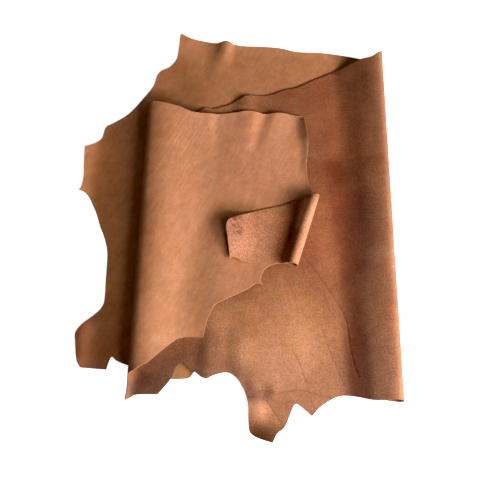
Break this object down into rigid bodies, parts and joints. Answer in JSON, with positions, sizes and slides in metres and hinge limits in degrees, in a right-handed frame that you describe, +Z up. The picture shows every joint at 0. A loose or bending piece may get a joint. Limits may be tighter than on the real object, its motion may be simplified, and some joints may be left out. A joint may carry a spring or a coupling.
{
  "type": "leather hide",
  "caption": "Side of cow leather folded back and forth on itself, with one corner turned back, lying flat.",
  "frame": {"origin": "on the surface it lies on, under the middle of the bottom layer", "axes": "+X towards the right fold, +Y towards the neck edge, +Z up"},
  "size_m": [0.946, 1.326, 0.0604],
  "materials": {
    "leather": "vegetable tanned, natural"
  },
  "bodies": {
    "root": {"hide": "leather"}
  },
  "joints": []
}
